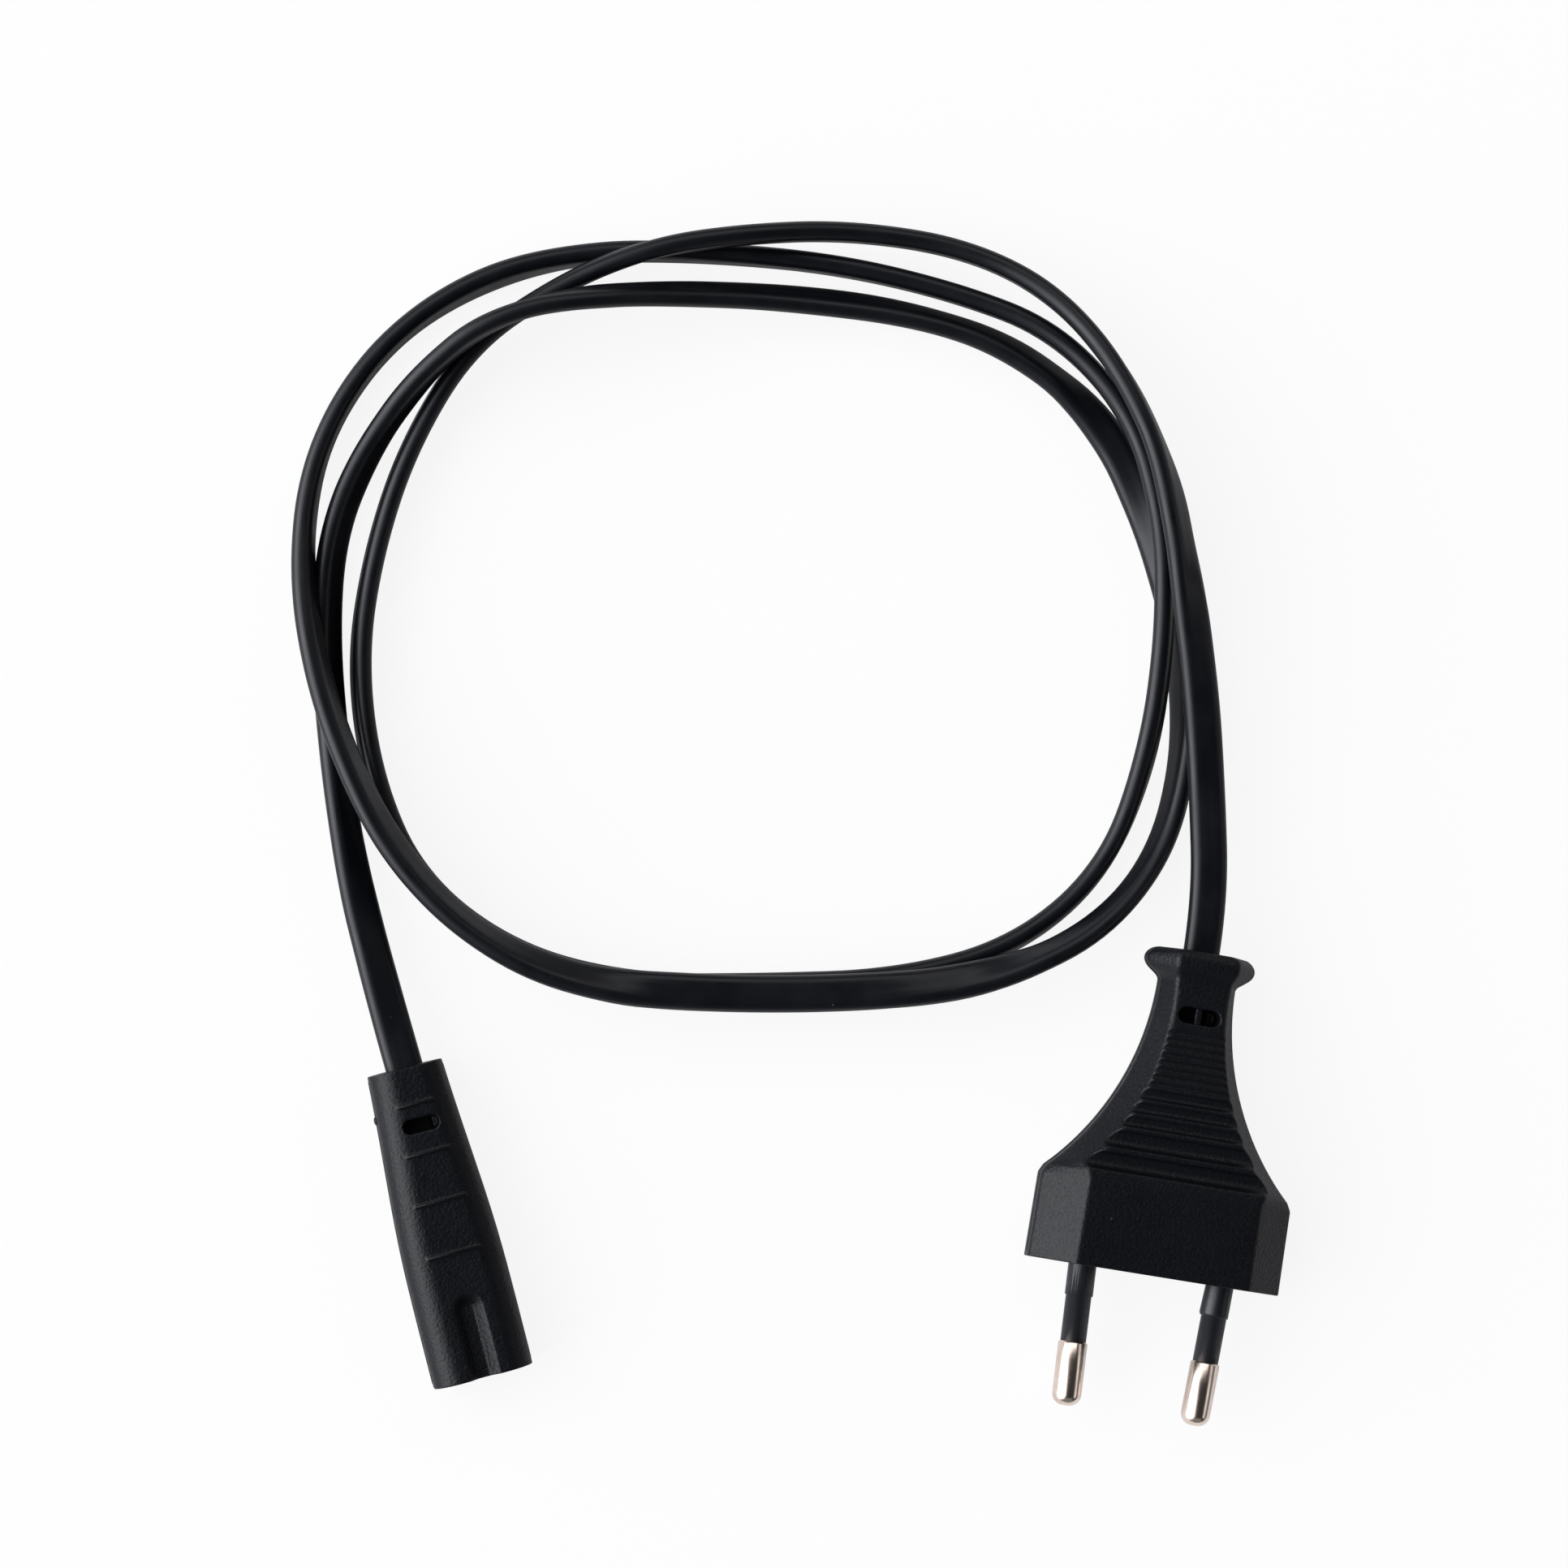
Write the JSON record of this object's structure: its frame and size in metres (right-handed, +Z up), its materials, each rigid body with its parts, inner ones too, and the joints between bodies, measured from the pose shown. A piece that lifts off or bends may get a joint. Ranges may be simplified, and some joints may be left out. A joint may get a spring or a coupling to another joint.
{
  "type": "figure eight power connector",
  "caption": "Figure eight power connector moulded on a flat black two-core mains lead that lies in loose turns and ends in a flat plug with round sleeved pins.",
  "frame": {"origin": "bottom centre of the figure eight connector, on the surface the lead lies on", "axes": "+Y along the connector from its front face to the flex, +Z up, +X across the contacts"},
  "size_m": [0.1289, 0.1777, 0.0137],
  "materials": {
    "moulded_pvc": "finely grained matte moulding",
    "hard_insert": "plain moulded",
    "contact_brass": "bright, turned",
    "plated_pin": "bright plate",
    "pin_sleeve": "smooth satin",
    "flex_sheath": "smooth satin extrusion",
    "live_insulation": "satin",
    "neutral_insulation": "satin",
    "copper_strands": "bare copper"
  },
  "bodies": {
    "root": {"connector_body": "moulded_pvc", "plug_body": "moulded_pvc", "contact_carrier": "hard_insert", "pin_bridge": "hard_insert", "live_contact": "contact_brass", "neutral_contact": "contact_brass", "live_pin": "plated_pin", "neutral_pin": "plated_pin", "live_pin_sleeve": "pin_sleeve", "neutral_pin_sleeve": "pin_sleeve", "flex": "flex_sheath", "connector_sheath_end": "flex_sheath", "plug_sheath_end": "flex_sheath", "connector_live_core": "live_insulation", "plug_live_core": "live_insulation", "connector_neutral_core": "neutral_insulation", "plug_neutral_core": "neutral_insulation", "connector_live_strands": "copper_strands", "connector_neutral_strands": "copper_strands", "plug_live_strands": "copper_strands", "plug_neutral_strands": "copper_strands"}
  },
  "joints": []
}
